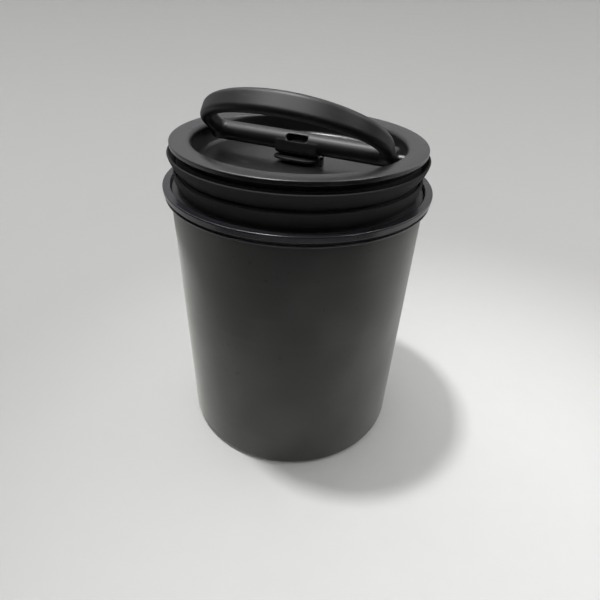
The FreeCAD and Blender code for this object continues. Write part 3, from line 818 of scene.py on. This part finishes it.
def seal_outline(sizes, skirt, lip, bottom, top):
    """Section of a seal: upright band, valley, and a lip that flares up and out."""
    soft = 0.0003
    band = skirt + sizes.band
    root = (band + sizes.root, bottom)
    lip_end = (lip, top - sizes.tip)
    face = bow(root, lip_end, sizes.bulge)
    tip = rounded([
        (*lip_end, 0),
        (lip, top, sizes.tip * 0.98),
        (lip - sizes.lip, top, soft),
        (band, bottom + sizes.valley, soft),
        (band, top, soft),
        (skirt, top, 0),
        (skirt, bottom, 0),
        (*root, soft),
        (*face[0], 0),
    ], closed=False)[:-1]
    return tip + face


class CANISTER_OT_seals(bpy.types.Operator):
    """Make the two soft wiper seals"""
    bl_idname = "canister.seals"
    bl_label = "Wiper seals"

    def execute(self, context):
        settings = context.scene.canister
        for name, solid in (("upper_seal", "upper_wiper_seal"), ("lower_seal", "lower_wiper_seal")):
            outline = seal_outline(settings.seal, settings.lid.skirt_radius, high(solid, 0),
                                   low(solid, 2), high(solid, 2))
            seal = mesh_object(name, *turned_mesh(outline, True, settings.segments))
            place_piece(seal, "lid", "seal_rubber", solid, "seal_rubber")
        return {"FINISHED"}


# Handle: the distance to each of its forms, blended, then a skin laid on the zero surface

def soft_least(first, second, softness):
    """The lesser of two distances, with a rounded crossing."""
    meet = np.maximum(softness - np.abs(first - second), 0.0) / softness
    return np.minimum(first, second) - meet * meet * softness * 0.25


def soft_most(first, second, softness):
    """The greater of two distances, with a rounded crossing."""
    return -soft_least(-first, -second, softness)


def rounded_cross(first, second, radius):
    """Distance to where two slabs cross, with its edges rounded."""
    a = first + radius
    b = second + radius
    return np.minimum(np.maximum(a, b), 0.0) + np.hypot(np.maximum(a, 0.0), np.maximum(b, 0.0)) - radius


def arch_distance(x, h, half_span, rise, leg):
    """Signed distance in the arch's plane to a half ellipse on two straight legs."""
    up = np.maximum(h - leg, 0.0)
    height = rise - leg
    near = np.hypot(x / half_span, up / height)
    slope = np.maximum(np.hypot(x / half_span ** 2, up / height ** 2), 1e-9)
    return near * (near - 1.0) / slope


def outline_distance(y, h, outline):
    """Signed distance in a plane to a closed outline, negative inside."""
    least = np.full(y.shape, np.inf)
    inside = np.zeros(y.shape, dtype=bool)
    for (ay, ah), (by, bh) in zip(outline, outline[1:] + outline[:1]):
        ey, eh = by - ay, bh - ah
        t = np.clip(((y - ay) * ey + (h - ah) * eh) / (ey * ey + eh * eh), 0.0, 1.0)
        least = np.minimum(least, np.hypot(y - ay - t * ey, h - ah - t * eh))
        if ah != bh:
            crosses = (ah > h) != (bh > h)
            inside ^= crosses & (y < ay + (h - ah) * ey / eh)
    return np.where(inside, -least, least)


def cam_outline(sizes):
    """Section of the cam: an even rise over a quarter turn, then a round nose and a flat flank."""
    rate = sizes.cam_lift / (math.pi / 2)
    lift_steps = 24
    nose_steps = 6
    points = []
    for number in range(lift_steps + 1):
        turn = math.pi / 2 * number / lift_steps
        reach = sizes.bar_radius + rate * turn
        points.append((-reach * math.sin(turn) - rate * math.cos(turn),
                       -reach * math.cos(turn) + rate * math.sin(turn)))
    nose = Vector(points[-1]) + Vector((sizes.cam_nose, 0))
    fall = math.acos((sizes.bar_radius - sizes.cam_nose) / nose.length)
    flank = math.atan2(nose.y, nose.x) - fall
    for number in range(1, nose_steps + 1):
        turn = math.pi + (flank - math.pi) * number / nose_steps
        points.append((nose.x + sizes.cam_nose * math.cos(turn), nose.y + sizes.cam_nose * math.sin(turn)))
    points.append((sizes.bar_radius * math.cos(flank), sizes.bar_radius * math.sin(flank)))
    return points + [(0.0, 0.0), (0.0, points[0][1])]


def handle_distance(sizes, x, y, h):
    """Signed distance to the handle's skin, in a frame on its axis with h along the arch."""
    cam_edge = 0.0006
    cam_blend = 0.0008
    slot_foot = 0.0008
    slot_edge = 0.0011
    hole_edge = 0.0005
    hole_radius = sizes.pin_radius + 0.00005
    outer = arch_distance(x, h, sizes.half_span, sizes.rise, sizes.leg)
    inner = arch_distance(x, h, sizes.half_span - sizes.thickness, sizes.rise - sizes.thickness, sizes.leg)
    grow = (sizes.width - sizes.leg_width) / 2 / sizes.rise
    across = np.abs(y) - sizes.leg_width / 2 - grow * np.maximum(h, 0.0)
    strap = np.maximum(rounded_cross(np.maximum(outer, -inner), across, sizes.edge), -h)
    around = np.hypot(y, h)
    half_bar = sizes.half_span + sizes.bar_proud
    bar = rounded_cross(around - sizes.bar_radius, np.abs(x) - half_bar, sizes.bar_edge)
    cam = outline_distance(y, h, cam_outline(sizes))
    cam = rounded_cross(cam, np.abs(x) - sizes.cam_length / 2, cam_edge)
    skin = soft_least(soft_least(bar, strap, sizes.root_blend), cam, cam_blend)
    end = (sizes.slot_length - sizes.slot_width) / 2
    pocket = np.hypot(np.maximum(np.abs(x) - end, 0.0), y) - sizes.slot_width / 2
    pocket = soft_most(pocket, sizes.bar_radius - sizes.slot_depth - h, slot_foot)
    pocket = np.maximum(pocket, h - sizes.bar_radius * 2)
    hole = np.maximum(around - hole_radius, half_bar - sizes.pin_hole - np.abs(x))
    return soft_most(soft_most(skin, -pocket, slot_edge), -hole, hole_edge)


def skin_of(distance, lowest, highest, step):
    """Vertices and quads of the zero surface of a distance, on a grid and then drawn onto the surface."""
    counts = [math.ceil((b - a) / step) + 1 for a, b in zip(lowest, highest)]
    axes = [a + step * np.arange(n) for a, n in zip(lowest, counts)]
    inside = distance(*np.meshgrid(*axes, indexing="ij")) < 0.0
    cells = np.zeros([n - 1 for n in counts], dtype=np.int32)
    for dx in (0, 1):
        for dy in (0, 1):
            for dz in (0, 1):
                cells += inside[dx:counts[0] - 1 + dx, dy:counts[1] - 1 + dy, dz:counts[2] - 1 + dz]
    crossed = (cells > 0) & (cells < 8)
    index = np.full(crossed.shape, -1, dtype=np.int64)
    index[crossed] = np.arange(crossed.sum())
    points = np.argwhere(crossed) * step + np.array(lowest) + step / 2
    quads = []
    for axis in range(3):
        first, second = (axis + 1) % 3, (axis + 2) % 3
        here = inside.take(range(counts[axis] - 1), axis)
        after = inside.take(range(1, counts[axis]), axis)
        for sign, change in ((1, here & ~after), (-1, after & ~here)):
            edges = np.argwhere(change)
            edges = edges[(edges[:, first] > 0) & (edges[:, second] > 0)]
            corners = []
            for da, db in ((1, 1), (0, 1), (0, 0), (1, 0)):
                cell = edges.copy()
                cell[:, first] -= da
                cell[:, second] -= db
                corners.append(index[cell[:, 0], cell[:, 1], cell[:, 2]])
            quad = np.stack(corners, axis=1)
            quads.append(quad if sign > 0 else quad[:, ::-1])
    return settle(distance, points, step), np.concatenate(quads)


def settle(distance, points, step, rounds=6, flattest=0.05):
    """Points drawn along the slope of a distance onto its zero surface."""
    tiny = step * 0.05
    for _ in range(rounds):
        x, y, h = points.T
        value = distance(x, y, h)
        slope = np.stack([
            distance(x + tiny, y, h) - distance(x - tiny, y, h),
            distance(x, y + tiny, h) - distance(x, y - tiny, h),
            distance(x, y, h + tiny) - distance(x, y, h - tiny),
        ], axis=1) / (2 * tiny)
        size_squared = np.maximum((slope * slope).sum(axis=1), flattest)
        move = np.clip(value / size_squared, -step, step)
        points = points - slope * move[:, None]
    return points


class CANISTER_OT_handle(bpy.types.Operator):
    """Make the handle: arch, crossbar, cam and slot in one moulding with blended roots"""
    bl_idname = "canister.handle"
    bl_label = "Handle"

    def execute(self, context):
        sizes = context.scene.canister.handle
        margin = sizes.skin_step * 3
        reach = sizes.bar_radius + sizes.cam_lift + margin
        side = sizes.half_span + sizes.bar_proud + margin
        points, quads = skin_of(lambda x, y, h: handle_distance(sizes, x, y, h), (-side, -reach, -reach),
                                (side, sizes.width / 2 + margin, sizes.rise + margin), sizes.skin_step)
        stand = Matrix.Translation((0, 0, sizes.axis_height)) @ Matrix.Rotation(sizes.lean, 4, "X")
        turn = np.array(stand.to_3x3())
        vertices = points @ turn.T + np.array(stand.translation)
        handle = mesh_object("handle_moulding", vertices.tolist(), quads.tolist())
        place_piece(handle, "handle", "handle_plastic", "handle", "handle_moulding")
        return {"FINISHED"}


class CANISTER_OT_pins(bpy.types.Operator):
    """Make the two steel pivot pins"""
    bl_idname = "canister.pins"
    bl_label = "Pivot pins"

    def execute(self, context):
        sizes = context.scene.canister.handle
        soft = 0.0004
        for solid in ("pivot_pin_left", "pivot_pin_right"):
            start, end = low(solid, 0), high(solid, 0)
            outline = rounded([
                (0.0, start, 0),
                (sizes.pin_radius, start, soft),
                (sizes.pin_radius, end, soft),
                (0.0, end, 0),
            ], closed=False)
            vertices, faces = turned_mesh(outline, False, PIN_SEGMENTS)
            vertices = [(z, y, sizes.axis_height - x) for x, y, z in vertices]
            pin = mesh_object(solid.replace("pivot_pin", "steel_pin"), vertices, faces)
            place_piece(pin, "lid", "bright_steel", solid, "pin_steel")
        return {"FINISHED"}


def cap_outline(sizes, half_length, half_width):
    """Outline of the cap's plate: bowed front and rear edges, straight ends and rounded corners."""
    sweep = (half_length ** 2 + sizes.bow ** 2) / (2 * sizes.bow)
    middle = sweep - half_width
    corner_x = half_length - sizes.corner
    corner_y = math.sqrt((sweep - sizes.corner) ** 2 - corner_x ** 2) - middle
    way = math.atan2(corner_y + middle, corner_x)
    arcs = [
        (0, middle, sweep, way - math.pi, -way),
        (corner_x, -corner_y, sizes.corner, -way, 0),
        (corner_x, corner_y, sizes.corner, 0, way),
        (0, -middle, sweep, way, math.pi - way),
        (-corner_x, corner_y, sizes.corner, math.pi - way, math.pi),
        (-corner_x, -corner_y, sizes.corner, math.pi, math.pi + way),
    ]
    edge_steps = 24
    corner_steps = 12
    points = []
    for x, y, radius, start, end in arcs:
        steps = edge_steps if x == 0 else corner_steps
        for number in range(1, steps + 1):
            turn = start + (end - start) * number / steps
            points.append(Vector((x + radius * math.cos(turn), y + radius * math.sin(turn))))
    return points


def coil_mesh(radius, wire, turns, bottom, top, turn_steps=48, sides=16):
    """Vertices and faces of a coil of round wire between two heights of its centre line."""
    steps = round(turns * turn_steps)
    slope = (top - bottom) / (2 * math.pi * turns * radius)
    vertices = []
    for step in range(steps + 1):
        turn = 2 * math.pi * turns * step / steps
        outward = Vector((math.cos(turn), math.sin(turn), 0.0))
        ahead = Vector((-math.sin(turn), math.cos(turn), slope)).normalized()
        downward = ahead.cross(outward)
        centre = outward * radius + Vector((0.0, 0.0, bottom + (top - bottom) * step / steps))
        for side in range(sides):
            a = 2 * math.pi * side / sides
            vertices.append(centre + (outward * math.cos(a) + downward * math.sin(a)) * wire / 2)
    return vertices, tube_faces(steps + 1, sides)


class CANISTER_OT_valve(bpy.types.Operator):
    """Make the valve cap and its spring, and finish the gasket, stem, washer, clip and cage behind it"""
    bl_idname = "canister.valve"
    bl_label = "Valve"

    def execute(self, context):
        sizes = context.scene.canister.cap
        lowest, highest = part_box("valve_cap")
        outline = cap_outline(sizes, highest[0], highest[1])
        top, edge = highest[2], sizes.edge
        bottom = top - sizes.thickness
        plate = plate_mesh(outline, [(edge * 0.5, bottom), (0, bottom + edge * 0.5), (0, top - edge),
                                     (edge * 0.3, top - edge * 0.3), (edge, top)])
        boss = turned_mesh(rounded([
            (0.0, lowest[2], 0),
            (sizes.boss_radius, lowest[2], edge),
            (sizes.boss_radius, bottom + edge, 0),
            (0.0, bottom + edge, 0),
        ], closed=False), False, BOSS_SEGMENTS)
        cap = mesh_object("valve_plate", *joined(plate, boss))
        place_piece(cap, "valve", "cap_plastic", "valve_cap", "cap_moulding")
        half_wire = sizes.spring_wire / 2
        coil_bottom = low("valve_spring", 2) + half_wire
        coil_top = high("valve_spring", 2) - half_wire
        coil = mesh_object("valve_coil", *coil_mesh(high("valve_spring", 0) - half_wire, sizes.spring_wire,
                                                    sizes.spring_turns, coil_bottom, coil_top))
        coil.data.materials.append(finish_named("bright_steel"))
        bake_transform(coil)
        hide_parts("valve_spring")
        for solid in ("valve_stem", "spring_washer", "stem_clip"):
            refinish(solid, "bright_steel")
        refinish("valve_gasket", "seal_rubber")
        refinish("valve_cage", "inner_moulding")
        return {"FINISHED"}


class CANISTER_OT_underside(bpy.types.Operator):
    """Finish the plate under the lid and its screws"""
    bl_idname = "canister.underside"
    bl_label = "Underplate and screws"

    def execute(self, context):
        refinish("lid_underplate", "inner_moulding")
        refinish("underplate_screws", "bright_steel")
        return {"FINISHED"}


# Stage

# Small ceiling lamps: the turn of each from the camera's side, then its rise from the floor, in degrees
CEILING_SPOTS = ((-108, 60), (-70, 58), (-26, 58), (58, 57), (101, 60))


def camera_frame(sizes):
    """The camera's place and its right, up and back directions in the canister's frame."""
    pitch, yaw, roll = sizes.pitch, sizes.yaw, sizes.roll
    ahead = Vector((math.sin(yaw) * math.cos(pitch), math.cos(yaw) * math.cos(pitch), -math.sin(pitch)))
    right = Vector((math.cos(yaw), -math.sin(yaw), 0))
    up = right.cross(ahead)
    level = right * math.cos(roll) + up * math.sin(roll)
    upright = up * math.cos(roll) - right * math.sin(roll)
    basis = Matrix((level, upright, -ahead)).transposed().to_4x4()
    basis.translation = (0, -sizes.distance, sizes.camera_height)
    return Matrix.Rotation(sizes.turn, 4, "Z") @ basis


def add_lamp(name, watts, width, depth, place, aim, turn):
    """A soft lamp placed before the camera's turn, and pointed at a height on the canister's axis."""
    data = bpy.data.lights.new(name, "AREA")
    data.energy = watts
    data.shape = "RECTANGLE"
    data.size = width
    data.size_y = depth
    lamp = bpy.data.objects.new(name, data)
    lamp.visible_camera = False
    bpy.context.scene.collection.objects.link(lamp)
    way = Vector((0, 0, aim)) - Vector(place)
    stand = Matrix.Translation(place) @ way.to_track_quat("-Z", "Y").to_matrix().to_4x4()
    lamp.matrix_world = Matrix.Rotation(turn, 4, "Z") @ stand
    return lamp


def floor_finish(sizes):
    """Plain pale paper with a faint mottle, a painted pool of light that fades to the duller backdrop away
    from it, lighter high up, and painted shade towards the right of the upper part.
    """
    finish, tree, shader = new_finish("pale_floor")
    place = place_of(tree)
    away = node(tree, "VectorMath", {"operation": "DISTANCE"})
    fill(tree, away.inputs[0], place)
    fill(tree, away.inputs[1], Matrix.Rotation(sizes.turn, 3, "Z") @ Vector(sizes.painted_light_pool_place))
    # Painted pool of light: paler near the patch's middle, fading to the backdrop colour away from it
    painted_light_falloff = spread(tree, away.outputs["Value"], sizes.painted_light_pool_near, sizes.painted_light_pool_far, 0, 1)
    paper = blend(tree, noise(tree, place, 60, 4), scaled(sizes.floor, 0.97), sizes.floor)
    paper = blend(tree, painted_light_falloff, paper, sizes.backdrop)
    # Painted shade: the backdrop's upper part darkens towards its right side
    across = node(tree, "SeparateXYZ", Vector=place).outputs["X"]
    shaded = spread(tree, across, -0.10, 0.55, 0, 1)
    upper = blend(tree, shaded, sizes.upper_wall, scaled(sizes.upper_wall, 0.62))
    raised = spread(tree, height_of(tree), sizes.wall_low, sizes.wall_high, 0, 1)
    paper = blend(tree, raised, paper, upper)
    rays = node(tree, "LightPath").outputs
    mirrored = sums(tree, "MAXIMUM", rays["Is Glossy Ray"], rays["Is Transmission Ray"])
    shown = sums(tree, "MAXIMUM", rays["Is Camera Ray"], mirrored)
    dress(tree, shader, Base_Color=blend(tree, shown, sizes.bounce, paper), Roughness=0.9,
          Specular_IOR_Level=0.1)
    return finish


def apron_mesh(sizes, columns=48):
    """Vertices and faces of a dark sheet that lies on the floor in front and rises behind the camera, seen
    only in reflections as a painted dark reflection.
    """
    outline = rounded([
        (sizes.apron_near, sizes.apron_lift, 0),
        (sizes.apron_far, sizes.apron_lift, sizes.apron_bend),
        (sizes.apron_far, sizes.apron_height, 0),
    ], closed=False)
    vertices = []
    for number in range(columns + 1):
        for radius, z in outline:
            raised = min(z / sizes.apron_flare, 1.0)
            half = sizes.apron_half + (sizes.screen_half - sizes.apron_half) * raised
            way = sizes.turn + half * (2 * number / columns - 1)
            vertices.append((radius * math.sin(way), -radius * math.cos(way), z))
    return vertices, grid_faces(columns + 1, len(outline), False)


def apron_finish(colour):
    """Dark sheet with a faint nap, seen only in reflections: a painted dark reflection."""
    finish, tree, shader = new_finish("dark_cloth")
    nap = noise(tree, place_of(tree), 300, 2)
    dress(tree, shader, Base_Color=blend(tree, nap, colour, scaled(colour, 1.3)), Roughness=1.0,
          Specular_IOR_Level=0.0)
    return finish


class CANISTER_OT_stage(bpy.types.Operator):
    """Make the floor, backdrop, lamps, world and camera"""
    bl_idname = "canister.stage"
    bl_label = "Stage"

    def execute(self, context):
        scene = context.scene
        sizes = scene.canister.stage
        outline = rounded([
            (0.0, 0.0, 0),
            (sizes.floor_radius, 0.0, sizes.floor_bend),
            (sizes.floor_radius, sizes.wall_height, 0),
        ], closed=False, step=FLOOR_STEP)
        floor = mesh_object("floor", *turned_mesh(outline, False, FLOOR_SEGMENTS))
        floor.data.materials.append(floor_finish(sizes))

        # Painted dark reflection: the apron is hidden from the camera, from shadows and from soft light,
        # and shows only in reflections
        apron = mesh_object("dark_apron", *apron_mesh(sizes))
        apron.data.materials.append(apron_finish(sizes.apron))
        apron.visible_camera = False
        apron.visible_shadow = False
        apron.visible_diffuse = False

        add_lamp("overhead_lamp", sizes.key_power, sizes.key_width, sizes.key_width,
                 sizes.key_place, sizes.lamp_aim, sizes.turn)
        add_lamp("side_lamp", sizes.side_power, sizes.side_width, sizes.side_width,
                 sizes.side_place, sizes.lamp_aim, sizes.turn)
        add_lamp("back_lamp", sizes.back_power, sizes.back_width, sizes.back_depth,
                 sizes.back_place, sizes.back_aim, sizes.turn)
        for number, (way, rise) in enumerate(CEILING_SPOTS):
            way = math.radians(way)
            rise = math.radians(rise)
            level = sizes.spot_distance * math.cos(rise)
            place = (level * math.sin(way), -level * math.cos(way), sizes.spot_distance * math.sin(rise))
            spot = add_lamp("ceiling_spot_%d" % number, sizes.spot_power, sizes.spot_width,
                            sizes.spot_width, place, sizes.spot_aim, sizes.turn)
            spot.visible_diffuse = False

        world = bpy.data.worlds.new("studio")
        world.use_nodes = True
        sky = world.node_tree.nodes["Background"]
        sky.inputs["Color"].default_value = (1.0, 1.0, 1.0, 1.0)
        sky.inputs["Strength"].default_value = sizes.sky
        world.cycles_visibility.glossy = False
        scene.world = world

        data = bpy.data.cameras.new("camera")
        data.lens = sizes.focal
        data.sensor_width = 36.0
        data.clip_start = 0.01
        camera = bpy.data.objects.new("camera", data)
        scene.collection.objects.link(camera)
        camera.matrix_world = camera_frame(sizes)
        scene.camera = camera
        scene.view_settings.view_transform = "Standard"
        return {"FINISHED"}


class CANISTER_PT_panel(bpy.types.Panel):
    """Lists the canister's pieces in the sidebar"""
    bl_idname = "CANISTER_PT_panel"
    bl_label = "Coffee canister"
    bl_space_type = "VIEW_3D"
    bl_region_type = "UI"
    bl_category = "Canister"

    def draw(self, context):
        column = self.layout.column()
        for operator in OPERATORS:
            column.operator(operator.bl_idname)


SIZE_GROUPS = (CanisterBodySizes, CanisterCollarSizes, CanisterLidSizes, CanisterSealSizes,
               CanisterHandleSizes, CanisterCapSizes, CanisterFinishes, CanisterStageSettings,
               CanisterSettings)
OPERATORS = (CANISTER_OT_body, CANISTER_OT_collar, CANISTER_OT_lid, CANISTER_OT_seals,
             CANISTER_OT_handle, CANISTER_OT_pins, CANISTER_OT_valve, CANISTER_OT_underside,
             CANISTER_OT_stage)


def register():
    """Adds the classes and the scene's settings."""
    for cls in (*SIZE_GROUPS, *OPERATORS, CANISTER_PT_panel):
        bpy.utils.register_class(cls)
    bpy.types.Scene.canister = PointerProperty(type=CanisterSettings)


def unregister():
    """Takes the settings and the classes away."""
    del bpy.types.Scene.canister
    for cls in reversed((*SIZE_GROUPS, *OPERATORS, CANISTER_PT_panel)):
        bpy.utils.unregister_class(cls)


def main():
    """Makes every piece and the stage."""
    register()
    bpy.ops.canister.body()
    bpy.ops.canister.collar()
    bpy.ops.canister.lid()
    bpy.ops.canister.seals()
    bpy.ops.canister.handle()
    bpy.ops.canister.pins()
    bpy.ops.canister.valve()
    bpy.ops.canister.underside()
    bpy.ops.canister.stage()


if __name__ == "__main__":
    main()
